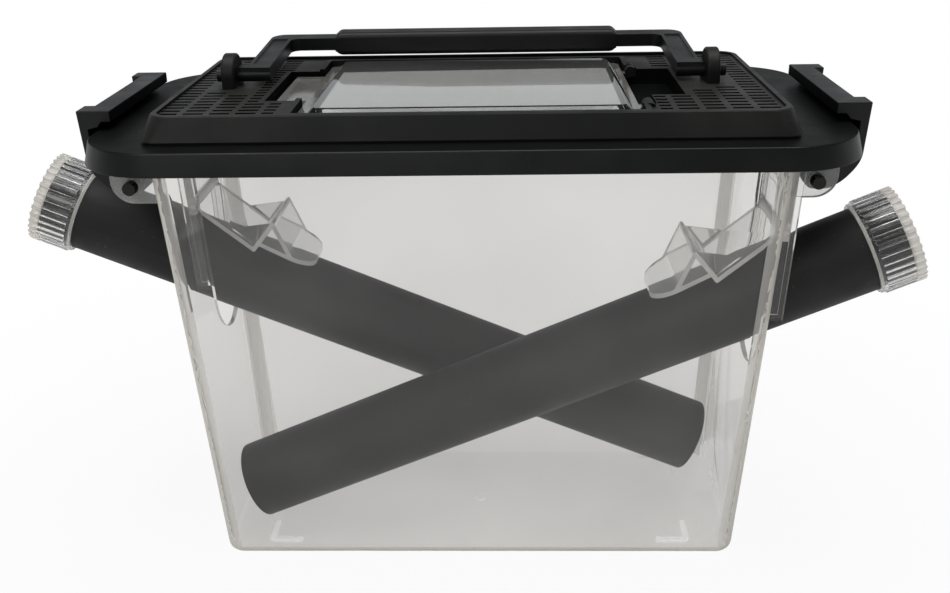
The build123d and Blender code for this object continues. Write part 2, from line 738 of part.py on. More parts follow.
# ---------------------------------------------------------------- door
flange_bottom = door_floor
flange_left = door_left - door_gap
flange_right = door_right - door_hinge_gap
flange_front = door_front - door_gap
flange_back = door_back - door_gap
window_bottom = flange_bottom + door_flange
window_centre = (0, (window_back - window_front) / 2)
window_length = window_front + window_back
with BuildPart() as door:
    with BuildSketch(Plane.XY.offset(flange_bottom)):
        with Locations(((flange_right - flange_left) / 2, (flange_back - flange_front) / 2)):
            RectangleRounded(flange_left + flange_right, flange_front + flange_back, door_corner)
    extrude(amount=door_flange)
    # raised window with sloping sides
    with BuildSketch(Plane.XY.offset(window_bottom)):
        with Locations(window_centre):
            RectangleRounded(window_width, window_length, window_corner)
    with BuildSketch(Plane.XY.offset(window_bottom + window_rise)):
        with Locations(window_centre):
            RectangleRounded(
                window_width - 2 * window_bevel, window_length - 2 * window_bevel, window_corner / 2
            )
    loft()
    with BuildSketch(Plane.XY.offset(flange_bottom)):
        with Locations(window_centre):
            RectangleRounded(
                window_width - 2 * window_wall, window_length - 2 * window_wall, window_corner - window_wall
            )
    with BuildSketch(Plane.XY.offset(window_bottom + window_rise - window_wall)):
        with Locations(window_centre):
            RectangleRounded(
                window_width - 2 * (window_bevel + window_wall),
                window_length - 2 * (window_bevel + window_wall),
                window_corner / 2,
            )
    loft(mode=Mode.SUBTRACT)
    # finger tab with a turned-down lip, over the left well
    with BuildSketch(Plane.XY.offset(flange_bottom)):
        with Locations((-flange_left - tab_reach / 2, 0)):
            Rectangle(tab_reach + door_corner, 2 * tab_half_length)
    extrude(amount=door_flange)
    with BuildSketch(Plane.XY.offset(flange_bottom - tab_lip_drop)):
        with Locations((-flange_left - tab_reach - door_corner / 2 + tab_lip / 2, 0)):
            Rectangle(tab_lip, 2 * tab_half_length)
    extrude(amount=tab_lip_drop)
    # hinge lugs, their barrels and the pins that point outwards
    for start, step_y in ((-boss_front + door_gap, 1), (boss_back - door_gap, -1)):
        lug = Plane(origin=(door_hinge_x, start, hinge_z), x_dir=(-step_y, 0, 0), z_dir=(0, step_y, 0))
        with BuildSketch(lug):
            Circle(door_barrel_radius)
        extrude(amount=door_lug_length)
        with BuildSketch(lug):
            Circle(door_pin_radius)
        extrude(amount=-door_pin_length - door_gap)
        with BuildSketch(Plane.XY.offset(flange_bottom)):
            with Locations(((flange_right + door_hinge_x) / 2 - door_gap, start + step_y * door_lug_length / 2)):
                Rectangle(door_hinge_x - flange_right + 2 * door_gap, door_lug_length)
        extrude(amount=door_flange)
save(door.part, "door")

# ---------------------------------------------------------------- handle
tilt = radians(handle_tilt)
bail_plane = Plane(
    origin=(0, 0, handle_pivot_z), x_dir=(1, 0, 0), z_dir=(0, -sin(tilt), cos(tilt))
)
ear_face = handle_ear_x - handle_ear_thickness / 2
arm_inner_x = arm_outer_x - arm_width
with BuildPart() as handle_bail:
    with BuildSketch(bail_plane.offset(arm_top - arm_thickness)) as bail_outline:
        with Locations((0, bar_far / 2)):
            Rectangle(2 * arm_outer_x, bar_far)
        far_corners = bail_outline.vertices().sort_by(Axis.Y)[-2:]
        fillet(far_corners, radius=bail_outer_round)
        with BuildSketch(bail_plane.offset(arm_top - arm_thickness), mode=Mode.SUBTRACT) as bail_inside:
            with Locations((0, bar_near / 2 - arm_width)):
                Rectangle(2 * arm_inner_x, bar_near + 2 * arm_width)
            fillet(bail_inside.vertices().sort_by(Axis.Y)[-2:], radius=bail_inner_round)
    extrude(amount=arm_thickness)
    # feet that turn out to the ears, and the pins
    foot_middle = (handle_foot_back - handle_foot_front) / 2
    for side in (-1, 1):
        foot_length = ear_face + side * handle_ear_shift - handle_side_gap - arm_inner_x
        with BuildSketch(bail_plane.offset(arm_top - handle_foot_height)):
            with Locations((side * (arm_inner_x + foot_length / 2), foot_middle)):
                Rectangle(foot_length, handle_foot_front + handle_foot_back)
        extrude(amount=handle_foot_height)
        with BuildSketch(Plane.YZ.offset(side * arm_inner_x)):
            with Locations((0, handle_pivot_z)):
                Circle(handle_pin_radius)
        extrude(amount=side * (foot_length + handle_side_gap + handle_ear_thickness + handle_pin_overhang))
    # shallow sunk panel along each arm
    with BuildSketch(bail_plane.offset(arm_top - panel_depth)):
        panel_start = handle_foot_back + panel_border
        for side in (-1, 1):
            with Locations((side * (arm_outer_x - arm_width / 2), (panel_start + bar_near) / 2)):
                Rectangle(arm_width - 2 * panel_border, bar_near - panel_start)
    extrude(amount=panel_depth, mode=Mode.SUBTRACT)
save(handle_bail.part, "handle_bail")

with BuildPart() as handle_grip:
    grip_depth = bar_far - bar_near + 2 * grip_wall_side
    grip_height = arm_thickness + 2 * grip_wall_top
    middle_y = (bar_near + bar_far) / 2
    with BuildSketch(Plane.YZ.offset(-grip_length / 2)) as grip_outline:
        with Locations((middle_y, handle_pivot_z + arm_top - arm_thickness / 2)):
            Rectangle(grip_depth, grip_height)
            fillet(grip_outline.vertices(), radius=grip_round)
            Rectangle(
                bar_far - bar_near + 2 * grip_fit, arm_thickness + 2 * grip_fit, mode=Mode.SUBTRACT
            )
    extrude(amount=grip_length)
tilted_grip = handle_grip.part.rotate(Axis((0, 0, handle_pivot_z), (1, 0, 0)), handle_tilt)
save(tilted_grip, "handle_grip")
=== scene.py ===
"""A clear keeper box for feeder insects: a clear tub, a black vented lid with a clear door, a bail handle,
two draw latches, two flapped side ports and two dark climbing tubes with clear fluted caps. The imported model
is the frame, and the finishes, the softened edges and the small roundings are added here."""

import math

import bmesh
import bpy
from bpy.props import FloatProperty, FloatVectorProperty, PointerProperty
from mathutils import Matrix, Vector


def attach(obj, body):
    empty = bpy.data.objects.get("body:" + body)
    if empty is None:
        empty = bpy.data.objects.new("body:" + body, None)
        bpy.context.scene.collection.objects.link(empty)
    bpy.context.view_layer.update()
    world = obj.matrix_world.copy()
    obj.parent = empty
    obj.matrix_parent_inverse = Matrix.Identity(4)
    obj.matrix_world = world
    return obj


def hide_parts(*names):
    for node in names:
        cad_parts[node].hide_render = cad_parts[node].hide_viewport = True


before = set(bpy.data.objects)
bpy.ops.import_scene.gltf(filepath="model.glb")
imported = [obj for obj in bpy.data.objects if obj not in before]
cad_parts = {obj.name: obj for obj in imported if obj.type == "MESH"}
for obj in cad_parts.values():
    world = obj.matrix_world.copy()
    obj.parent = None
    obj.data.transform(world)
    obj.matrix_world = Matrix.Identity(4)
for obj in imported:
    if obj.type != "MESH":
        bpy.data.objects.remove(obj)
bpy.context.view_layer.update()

bl_info = {
    "name": "Keeper Box",
    "version": (1, 0, 0),
    "blender": (4, 5, 0),
    "location": "View3D > Sidebar > Keeper Box",
    "description": "Dresses a clear keeper box with its vented lid, latches, flapped ports and capped tubes",
    "category": "Object",
}

MM = 0.001

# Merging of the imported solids' loose triangles
MERGE = 0.004 * MM
FLAT = math.radians(0.6)

# Edges that turn by more than this are softened
SHARP = math.radians(32)

# A face is square to an axis if more than this share of its normal lies along it
SQUARE = 0.9

# The tub: heights from its underside, distances from its middle, and breadths that narrow faces are under
UNDERSIDE = 1.0 * MM  # the underside's faces are below this height
REAR_RIB_FOOT = 2.0 * MM
RIB_FOOT, RIB_TOP = 2.2 * MM, 5.5 * MM
RIB_NEAR, RIB_FAR = 70.0 * MM, 108.0 * MM
RIB_REACH = 42.0 * MM
RIB_BREADTH = 6.0 * MM
MARK_HALF_WIDTH, MARK_HALF_DEPTH = 20.0 * MM, 30.0 * MM
MARK_TOP = 6.0 * MM
MARK_BREADTH = 3.0 * MM
FLOOR_TURN = 8.0 * MM  # the rounding round the floor ends below this height
BOTTOM_EDGE_START, BOTTOM_EDGE_TOP = 39.0 * MM, 5.2 * MM
CORNER_START = 38.0 * MM
BACK_START, BACK_HALF_WIDTH = 41.0 * MM, 30.0 * MM
WALLS_END = 127.0 * MM
EARS_START = 127.5 * MM
FOOT_HALF_WIDTH = 114.7 * MM
WALL_LEAN = 10.9 / 194.4  # a side wall's spread over its height
RAIL_STAND = 2.5 * MM  # the rails stand off the wall by more than this
RAIL_FOOT, RAIL_TOP = 100.0 * MM, 192.0 * MM
RAIL_REACH = 45.0 * MM
PORT_START = 110.0 * MM
PORT_FOOT, PORT_TOP = 80.0 * MM, 193.0 * MM
PORT_REACH = 43.0 * MM
CUT_BREADTH = 3.4 * MM

# The caps: distances from the mouth along the cap, radii of its flutes' grooves, and degrees of smoothing
TUBE_TILT = math.radians(22.8)
CAP_MOUTH = 0.01 * MM  # the mouth's rim reaches less far than this
CAP_LIP = 1.2 * MM
CAP_FLUTED = 14.7 * MM
CAP_END = 1.2 * MM  # the scalloped stretch at the closed end
GROOVE_NEAR, GROOVE_FAR = 19.3 * MM, 20.45 * MM
SCALLOP = 0.8 * MM
CAP_SMOOTH = 8

# The flaps: the breadth() below which a face that looks to the front or back, or any other, is an edge
FLAP_EDGE_FRONT, FLAP_EDGE = 5.0 * MM, 2.4 * MM

# The lid's deck: its two handle ears and its two finger wells
EAR_NEAR, EAR_FAR = 93.0 * MM, 112.0 * MM
EAR_FOOT, EAR_TOP = 204.0 * MM, 207.0 * MM
EAR_PIVOT = 210.0 * MM
EAR_BORE = 3.3 * MM
EAR_ROUND = 0.9 * MM
EAR_TURN = math.radians(60)  # the edges that are rounded turn by more than this
WELL_FLOOR, WELL_TOP = 196.5 * MM, 204.5 * MM
WELL_NEAR, WELL_FAR = 65.0 * MM, 90.0 * MM

# The door: the raised window is above its flat rim, with the tab on the left and the hinge on the right
WINDOW_FOOT = 205.0 * MM
TAB_END = -67.0 * MM
HINGE_START = 65.2 * MM

# The handle's grip and its rounded ends
GRIP_TILT = math.radians(3.4)
GRIP_ROUND = 3.2 * MM
GRIP_STATIONS = (20, 38, 54, 68, 90)  # degrees of an end's turn that get a ring of edges
GRIP_SHOULDER = 2.2 * MM
GRIP_DROP = 1.7 * MM

# The deck's pale veil, partly dust and partly painted sheen, is faint nearer to the middle than the first of
# these, and whole beyond the second
VEIL_START, VEIL_FULL = 60.0 * MM, 85.0 * MM

# The viewpoint: a place in metres, turns in degrees and a lens in millimetres
CAMERA_PLACE = (0.0144, -0.4557, 0.2982)
CAMERA_YAW, CAMERA_PITCH, CAMERA_ROLL = -1.9, 22.6, 1.1
CAMERA_LENS = 41.3

# Name, place, aim, size and watts of each lamp
LAMPS = (
    ("top_light", (0.0, -0.1, 1.6), (0, 0, 0.1), (1.4, 1.0), 15.0),
    ("front_light", (-0.6, -1.6, 1.2), (0, 0, 0.12), (1.2, 0.8), 7.0),
)

# The surround is brighter behind the object than before it, and dimmer overhead than at the horizon
SURROUND = (0.95, 0.97, 1.0, 1)
BEHIND = {"From Min": -0.4, "From Max": 0.6, "To Min": 0.3, "To Max": 0.62}
OVERHEAD = {"From Min": 0.12, "From Max": 0.5, "To Min": 1.0, "To Max": 0.3}


# ---------------------------------------------------------------- settings


class KeeperBoxSizes(bpy.types.PropertyGroup):
    """Sizes of the softened edges, the moulded grain and the floor."""

    lid_edge: FloatProperty(
        name="Lid edge radius",
        description="Softened edge of the lid's frame and the latches",
        default=0.45 * MM,
        min=0.05 * MM,
        unit="LENGTH",
    )
    small_edge: FloatProperty(
        name="Small edge radius",
        description="Softened edge of the vented deck, the handle and its grip",
        default=0.3 * MM,
        min=0.05 * MM,
        unit="LENGTH",
    )
    grain: FloatProperty(
        name="Grain size",
        description="Width of one grain of the black plastic's texture",
        default=0.45 * MM,
        min=0.1 * MM,
        unit="LENGTH",
    )
    floor_size: FloatProperty(
        name="Floor size",
        description="Width of the studio floor",
        default=9.0,
        min=2.0,
        unit="LENGTH",
    )


class KeeperBoxColours(bpy.types.PropertyGroup):
    """Colours of the plastics."""

    black: FloatVectorProperty(
        name="Black plastic",
        description="Moulded lid, latches and handle",
        subtype="COLOR",
        size=3,
        default=(0.0029, 0.0033, 0.0031),
        min=0,
        max=1,
    )
    # This colour also paints the sheen in the deck's veil.
    dust: FloatVectorProperty(
        name="Dust",
        description="Pale dust and rub marks on the black plastic and the tubes",
        subtype="COLOR",
        size=3,
        default=(0.16, 0.155, 0.14),
        min=0,
        max=1,
    )
    clear: FloatVectorProperty(
        name="Clear plastic",
        description="Tint of the tub, port plates and flaps",
        subtype="COLOR",
        size=3,
        default=(0.905, 0.899, 0.888),
        min=0,
        max=1,
    )
    edge: FloatVectorProperty(
        name="Clear edges",
        description="Pale scattering edges of the tub and port plates",
        subtype="COLOR",
        size=3,
        default=(0.8, 0.78, 0.745),
        min=0,
        max=1,
    )
    # Painted light: the outer rim's warm colour stands in for the light that the rounded front edges gather.
    glow: FloatVectorProperty(
        name="Outer rim",
        description="Warm glow in the outer turn of the tub's edges",
        subtype="COLOR",
        size=3,
        default=(0.97, 0.92, 0.83),
        min=0,
        max=1,
    )
    cap: FloatVectorProperty(
        name="Cap plastic",
        description="Tint of the fluted tube caps",
        subtype="COLOR",
        size=3,
        default=(0.975, 0.975, 0.96),
        min=0,
        max=1,
    )
    tube: FloatVectorProperty(
        name="Tube",
        description="Dark matt tubes",
        subtype="COLOR",
        size=3,
        default=(0.0125, 0.0135, 0.0125),
        min=0,
        max=1,
    )


def sizes():
    return bpy.context.scene.keeper_box_sizes


def colours():
    return bpy.context.scene.keeper_box_colours


# ---------------------------------------------------------------- materials


class Finish:
    """A node material with its Principled shader and a few short ways to add nodes to it."""

    def __init__(self, name):
        self.material = bpy.data.materials.new(name)
        self.material.use_nodes = True
        self.nodes = self.material.node_tree.nodes
        self.links = self.material.node_tree.links
        self.shader = self.nodes["Principled BSDF"]
        self.output = self.nodes["Material Output"]
        self.place = self.add("ShaderNodeTexCoord").outputs["Object"]

    def add(self, kind, **values):
        node = self.nodes.new(kind)
        for key, value in values.items():
            if key in node.inputs.keys():
                node.inputs[key].default_value = value
            else:
                setattr(node, key, value)
        return node

    def join(self, output, socket):
        self.links.new(output, socket)

    def level(self, name, value):
        """Sets one of the shader's own values."""
        self.shader.inputs[name].default_value = value

    def shade(self, name, output):
        """Drives one of the shader's values by a node."""
        self.join(output, self.shader.inputs[name])

    def noise(self, scale, detail=2.0, stretch=None, rough=0.5):
        texture = self.add("ShaderNodeTexNoise", Scale=scale, Detail=detail, Roughness=rough)
        if stretch is None:
            self.join(self.place, texture.inputs["Vector"])
        else:
            mapping = self.add("ShaderNodeMapping")
            mapping.inputs["Scale"].default_value = stretch
            self.join(self.place, mapping.inputs["Vector"])
            self.join(mapping.outputs["Vector"], texture.inputs["Vector"])
        return texture.outputs["Fac"]

    def ramp(self, source, *stops):
        """A colour ramp. Each stop is a position with a grey level or a colour."""
        node = self.add("ShaderNodeValToRGB")
        while len(node.color_ramp.elements) < len(stops):
            node.color_ramp.elements.new(0.5)
        for element, (position, value) in zip(node.color_ramp.elements, stops):
            element.position = position
            element.color = (*value, 1) if hasattr(value, "__len__") else (value, value, value, 1)
        self.join(source, node.inputs["Fac"])
        return node.outputs["Color"]

    def mix(self, fac, a, b):
        node = self.add("ShaderNodeMix", data_type="RGBA")
        for value, socket in ((fac, node.inputs["Factor"]), (a, node.inputs["A"]), (b, node.inputs["B"])):
            if isinstance(value, bpy.types.NodeSocket):
                self.join(value, socket)
            elif hasattr(value, "__len__"):
                socket.default_value = (*value, 1)
            else:
                socket.default_value = value
        return node.outputs["Result"]

    def math(self, operation, a, b=0.0):
        node = self.add("ShaderNodeMath", operation=operation)
        for value, socket in ((a, node.inputs[0]), (b, node.inputs[1])):
            if isinstance(value, bpy.types.NodeSocket):
                self.join(value, socket)
            else:
                socket.default_value = value
        return node.outputs[0]

    def times(self, a, b):
        return self.math("MULTIPLY", a, b)

    def bump(self, height, strength, distance):
        node = self.add("ShaderNodeBump", Strength=strength, Distance=distance)
        self.join(height, node.inputs["Height"])
        self.shade("Normal", node.outputs["Normal"])

    def upward(self, low, high):
        """0 to 1 by how far the surface faces up, in the piece's own frame."""
        parts = self.add("ShaderNodeSeparateXYZ")
        self.join(self.add("ShaderNodeTexCoord").outputs["Normal"], parts.inputs[0])
        span = self.add("ShaderNodeMapRange")
        span.inputs["From Min"].default_value = low
        span.inputs["From Max"].default_value = high
        self.join(parts.outputs["Z"], span.inputs["Value"])
        return span.outputs["Result"]

    def finish_as(self, fac, first, second):
        """Ends the material in a mix of two shaders."""
        choose = self.add("ShaderNodeMixShader")
        self.join(fac, choose.inputs["Fac"])
        self.join(first, choose.inputs[1])
        self.join(second, choose.inputs[2])
        self.join(choose.outputs["Shader"], self.output.inputs["Surface"])


def shades(colour, *levels):
    """The colour at each level of brightness."""
    return [[min(1, part * level) for part in colour] for level in levels]


def black_plastic(name, dusty=1.0, rough=0.44, dust_and_sheen=0.0, gloss=0.43):
    """Satin black moulding with a fine grain, faint cloudy wear and pale dust. The last setting lays an even
    pale veil on what faces up, away from the piece's middle, which is partly dust and partly a painted sheen."""
    finish = Finish(name)
    dark, light = shades(colours().black, 0.8, 1.5)
    clouds = finish.ramp(finish.noise(34, 4), (0.3, dark), (0.72, light))
    specks = finish.ramp(finish.noise(1700, 2), (0.68, 0.0), (0.8, 1.0))
    patches = finish.ramp(finish.noise(46, 3), (0.46, 0.08), (0.7, 1.0))
    upward = finish.upward(0.2, 0.95)
    loose = finish.times(finish.times(specks, patches), 0.4 * dusty)
    loose = finish.times(loose, finish.math("ADD", finish.times(upward, 0.75), 0.25))
    # Painted sheen: the veil is partly dust and partly the sheen of the bright sky behind, painted on
    # up-facing faces.
    if dust_and_sheen:
        veil = finish.ramp(finish.noise(70, 4), (0.3, dust_and_sheen * 0.6), (0.7, dust_and_sheen * 1.3))
        parts = finish.add("ShaderNodeSeparateXYZ")
        finish.join(finish.place, parts.inputs[0])
        reach = finish.math("ABSOLUTE", parts.outputs["X"])
        outer = finish.ramp(reach, (VEIL_START, 0.05), (VEIL_FULL, 1.0))
        veil = finish.times(finish.times(upward, veil), outer)
        loose = finish.math("ADD", loose, veil)
    finish.shade("Base Color", finish.mix(loose, clouds, tuple(colours().dust)))
    smears = finish.ramp(finish.noise(60, 5, rough=0.6), (0.3, rough - 0.06), (0.75, rough + 0.1))
    finish.shade("Roughness", smears)
    finish.level("IOR", 1.45)
    finish.level("Specular IOR Level", gloss)
    finish.bump(finish.noise(1 / sizes().grain, 2), 0.12, 0.08 * MM)
    return finish.material


def painted_shade_black(name):
    """Painted shade: a duller, less glossy and less dusty black that stands in for the deep shade in a recess
    or under an edge.
    """
    return black_plastic(name, dusty=0.3, rough=0.6, gloss=0.04)


def tube_plastic(name):
    """Dull dark tube with faint cloudy wear, specks of dust and a fine grain."""
    finish = Finish(name)
    dark, light = shades(colours().tube, 0.85, 1.25)
    clouds = finish.ramp(finish.noise(40, 5), (0.3, dark), (0.75, light))
    dust = finish.ramp(finish.noise(700, 1), (0.76, 0.0), (0.8, 0.5))
    finish.shade("Base Color", finish.mix(dust, clouds, tuple(colours().dust)))
    finish.shade("Roughness", finish.ramp(finish.noise(90, 3), (0.3, 0.5), (0.7, 0.62)))
    finish.level("IOR", 1.45)
    finish.level("Specular IOR Level", 0.4)
    finish.bump(finish.noise(500, 1), 0.03, 0.03 * MM)
    return finish.material


def clear_plastic(name, tint, index=1.45, rough=0.0, scratches=0.5, milk=0.0, haze=0.0, painted_glow=0.0):
    """Clear moulding with a slight tint and faint scuffs in its gloss. milk is the share that a cut or
    moulded edge scatters, haze is the most that its cloudy dust does, and the glow setting is painted light,
    an emission that stands in for the light that a thin rib gathers. It lets the lamps' light through."""
    finish = Finish(name)
    dark, light = shades(tint, 0.955, 1.04)
    finish.shade("Base Color", finish.ramp(finish.noise(7, 3), (0.32, dark), (0.68, light)))
    if haze:
        passes = finish.ramp(finish.noise(11, 4), (0.35, 1.0 - milk), (0.7, 1.0 - milk - haze))
        finish.shade("Transmission Weight", passes)
    else:
        finish.level("Transmission Weight", 1.0 - milk)
    finish.level("IOR", index)
    # Painted glow: the moulding gives off a little light of its own, though it is no lamp.
    finish.level("Emission Strength", painted_glow)
    scuffs = finish.noise(120, 5, stretch=(1, 1, 0.25), rough=0.62)
    finish.shade("Roughness", finish.ramp(scuffs, (0.5, rough), (0.72, rough + 0.11 * scratches)))
    passing = finish.add("ShaderNodeBsdfTransparent")
    passing.inputs["Color"].default_value = (*[part**0.5 for part in tint], 1)
    shadow = finish.add("ShaderNodeLightPath").outputs["Is Shadow Ray"]
    finish.finish_as(shadow, finish.shader.outputs["BSDF"], passing.outputs["BSDF"])
    return finish.material


def studio_floor(name):
    """Plain pale floor. It glows for the camera, and less in what gloss and clear plastic show. Near the
    object the glow is less than whole, so that its shade shows a little."""
    finish = Finish(name)
    pale = finish.ramp(finish.noise(3, 2), (0.3, (0.79, 0.79, 0.785)), (0.7, (0.81, 0.81, 0.805)))
    finish.shade("Base Color", pale)
    finish.level("Roughness", 0.9)
    finish.level("Specular IOR Level", 0.1)
    glow = finish.add("ShaderNodeEmission", Strength=1.0)
    glow.inputs["Color"].default_value = (1, 1, 1, 1)
    path = finish.add("ShaderNodeLightPath").outputs
    far = finish.add("ShaderNodeVectorMath", operation="LENGTH")
    finish.join(finish.place, far.inputs[0])
    direct = finish.ramp(far.outputs["Value"], (0.16, 0.93), (0.42, 1.0))
    through = finish.ramp(far.outputs["Value"], (0.14, 0.54), (0.5, 0.7))
    seen = finish.times(path["Is Camera Ray"], direct)
    seen = finish.math("MAXIMUM", seen, finish.times(path["Is Glossy Ray"], 0.3))
    seen = finish.math("MAXIMUM", seen, finish.times(path["Is Transmission Ray"], through))
    finish.finish_as(seen, finish.shader.outputs["BSDF"], glow.outputs["Emission"])
    return finish.material


# ---------------------------------------------------------------- modelling


def select_only(*objects):
    if bpy.context.object and bpy.context.object.mode != "OBJECT":
        bpy.ops.object.mode_set(mode="OBJECT")
    bpy.ops.object.select_all(action="DESELECT")
    for thing in objects:
        thing.select_set(True)
    if objects:
        bpy.context.view_layer.objects.active = objects[0]


def settle(piece):
    """Puts the piece's place into its mesh, so that its object sits at the origin."""
    select_only(piece)
    bpy.ops.object.transform_apply(location=True, rotation=True, scale=True)
    return piece


def apply_all(piece):
    select_only(piece)
    for modifier in list(piece.modifiers):
        bpy.ops.object.modifier_apply(modifier=modifier.name)


def copy_of(node, name, whole=True):
    """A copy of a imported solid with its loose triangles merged. Where whole is set, its flat faces are made
    whole too."""
    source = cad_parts[node]
    piece = bpy.data.objects.new(name, source.data.copy())
    bpy.context.scene.collection.objects.link(piece)
    piece.data.materials.clear()
    select_only(piece)
    bpy.ops.object.mode_set(mode="EDIT")
    bpy.ops.mesh.select_all(action="SELECT")
    bpy.ops.mesh.remove_doubles(threshold=MERGE)
    if whole:
        bpy.ops.mesh.dissolve_limited(angle_limit=FLAT)
    bpy.ops.object.mode_set(mode="OBJECT")
    return piece


def smooth(piece, angle=30):
    """Smooth shading that keeps sharp edges. The broad faces lead, so that flat walls stay flat."""
    select_only(piece)
    bpy.ops.object.shade_smooth_by_angle(angle=math.radians(angle))
    weights = piece.modifiers.new("normals", "WEIGHTED_NORMAL")
    weights.mode = "FACE_AREA"
    weights.weight = 50
    weights.keep_sharp = True
    apply_all(piece)


def soften(piece, width):
    """Rounds the sharp edges a little, as a mould does, and smooths the shading."""
    bevel = piece.modifiers.new("edges", "BEVEL")
    bevel.width = width
    bevel.segments = 2
    bevel.limit_method = "ANGLE"
    bevel.angle_limit = SHARP
    bevel.use_clamp_overlap = True
    bevel.harden_normals = False
    apply_all(piece)
    smooth(piece)


def round_edges(piece, chosen, width):
    """Rounds only the edges that chosen() picks."""
    mesh = bmesh.new()
    mesh.from_mesh(piece.data)
    picked = [edge.index for edge in mesh.edges if chosen(edge)]
    mesh.free()
    select_only(piece)
    bpy.ops.object.mode_set(mode="EDIT")
    bpy.ops.mesh.select_mode(type="EDGE")
    bpy.ops.mesh.select_all(action="DESELECT")
    bpy.ops.object.mode_set(mode="OBJECT")
    for index in picked:
        piece.data.edges[index].select = True
    bpy.ops.object.mode_set(mode="EDIT")
    bpy.ops.mesh.bevel(offset=width, segments=3, clamp_overlap=True)
    bpy.ops.mesh.select_mode(type="VERT")
    bpy.ops.object.mode_set(mode="OBJECT")


def cut_across(piece, points, normal):
    """Adds a ring of edges where a plane through each point crosses the piece."""
    select_only(piece)
    for point in points:
        bpy.ops.object.mode_set(mode="EDIT")
        bpy.ops.mesh.select_all(action="SELECT")
        bpy.ops.mesh.bisect(plane_co=point, plane_no=normal)
        bpy.ops.object.mode_set(mode="OBJECT")


def dress(thing, material):
    thing.data.materials.clear()
    thing.data.materials.append(material)
    for face in thing.data.polygons:
        face.material_index = 0


def dress_faces(piece, material, chosen):
    """Gives the faces that chosen() picks one more finish."""
    piece.data.materials.append(material)
    mesh = bmesh.new()
    mesh.from_mesh(piece.data)
    picked = [face.index for face in mesh.faces if chosen(face)]
    mesh.free()
    for index in picked:
        piece.data.polygons[index].material_index = len(piece.data.materials) - 1


def dress_node(node, material):
    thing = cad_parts[node]
    for slot in thing.material_slots:
        slot.link = "OBJECT"
        slot.material = material


def stand_for(piece, node, body, material):
    dress(piece, material)
    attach(piece, body)
    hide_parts(node)


def middle(face):
    return face.calc_center_median()


def breadth(face):
    """Four times a face's area over its rim, which is about twice the width of a long strip."""
    rim = sum(edge.calc_length() for edge in face.edges)
    return 4 * face.calc_area() / rim


# ---------------------------------------------------------------- faces of the tub


def turned(face):
    """The floor's underside, the rounding round it and the rear ribs."""
    centre, normal = middle(face), face.normal
    rib = centre.y > 0 and centre.z > REAR_RIB_FOOT and breadth(face) < RIB_BREADTH
    under = normal.z < -SQUARE and centre.z < UNDERSIDE
    return under or centre.z < FLOOR_TURN and (0.1 < abs(normal.z) < 0.98 or rib)


def side_or_back(face):
    """Both faces of the side walls and of the back, which bend light less than the front does, so that
    their corners stay clear."""
    centre, normal = middle(face), face.normal
    back = abs(normal.y) > SQUARE and centre.y > BACK_START and centre.z > FLOOR_TURN
    side = abs(normal.x) > SQUARE and abs(centre.x) < WALLS_END
    return side or (back and abs(centre.x) < BACK_HALF_WIDTH)


def tall_corner(face):
    """The tall rounded corners."""
    centre, normal = middle(face), face.normal
    corner = centre.z > FLOOR_TURN and abs(centre.y) > CORNER_START
    return corner and min(abs(normal.x), abs(normal.y)) > 0.12


def rail_face(face):
    """The outward faces of the port rails, which stand off the side walls."""
    centre = middle(face)
    wall = FOOT_HALF_WIDTH + centre.z * WALL_LEAN
    beyond = abs(centre.x) > wall + RAIL_STAND and abs(face.normal.x) > SQUARE
    return beyond and RAIL_FOOT < centre.z < RAIL_TOP and abs(centre.y) < RAIL_REACH


def ear_face(face):
    """The broad faces of the latch ears."""
    return abs(face.normal.y) > 0.8 and abs(middle(face).x) > EARS_START


def outer_rim(face):
    """The outer turn of the front corners and of the bottom edge in front, which gather the light.
    Its milky warm finish is painted light that stands in for that light.
    """
    centre, normal = middle(face), face.normal
    if centre.z < BOTTOM_EDGE_TOP:
        return centre.y < -BOTTOM_EDGE_START and -0.93 < normal.z < -0.1
    outward = normal.x * centre.x > 0 and normal.y * centre.y > 0
    corner = centre.y < -CORNER_START and abs(centre.x) < WALLS_END
    return corner and outward and abs(normal.x) > 0.55 and abs(normal.y) > 0.1


def floor_rib(face, way):
    """The raised ribs in the floor's front corners (way -1) or rear ones (way 1)."""
    centre = middle(face)
    low = RIB_FOOT < centre.z < RIB_TOP and breadth(face) < RIB_BREADTH
    return low and 0 < way * centre.y < RIB_REACH and RIB_NEAR < abs(centre.x) < RIB_FAR


def gate_mark(face):
    """The small moulding mark in the middle of the floor."""
    centre = middle(face)
    near = abs(centre.x) < MARK_HALF_WIDTH and abs(centre.y) < MARK_HALF_DEPTH and centre.z < MARK_TOP
    return near and breadth(face) < MARK_BREADTH


def bright_mark(face):
    """The front ribs and the moulding mark."""
    return floor_rib(face, -1) or gate_mark(face)


def rear_rib(face):
    """The rear ribs."""
    return floor_rib(face, 1)


def port_edge(face):
    """The cut sides of the ports, the rails' sides and the ears' rims."""
    centre, normal = middle(face), face.normal
    if abs(centre.x) > EARS_START:
        return abs(normal.y) < 0.3
    port = PORT_FOOT < centre.z < PORT_TOP and abs(centre.x) > PORT_START and abs(centre.y) < PORT_REACH
    return port and abs(normal.x) < 0.5 and breadth(face) < CUT_BREADTH


# ---------------------------------------------------------------- operators


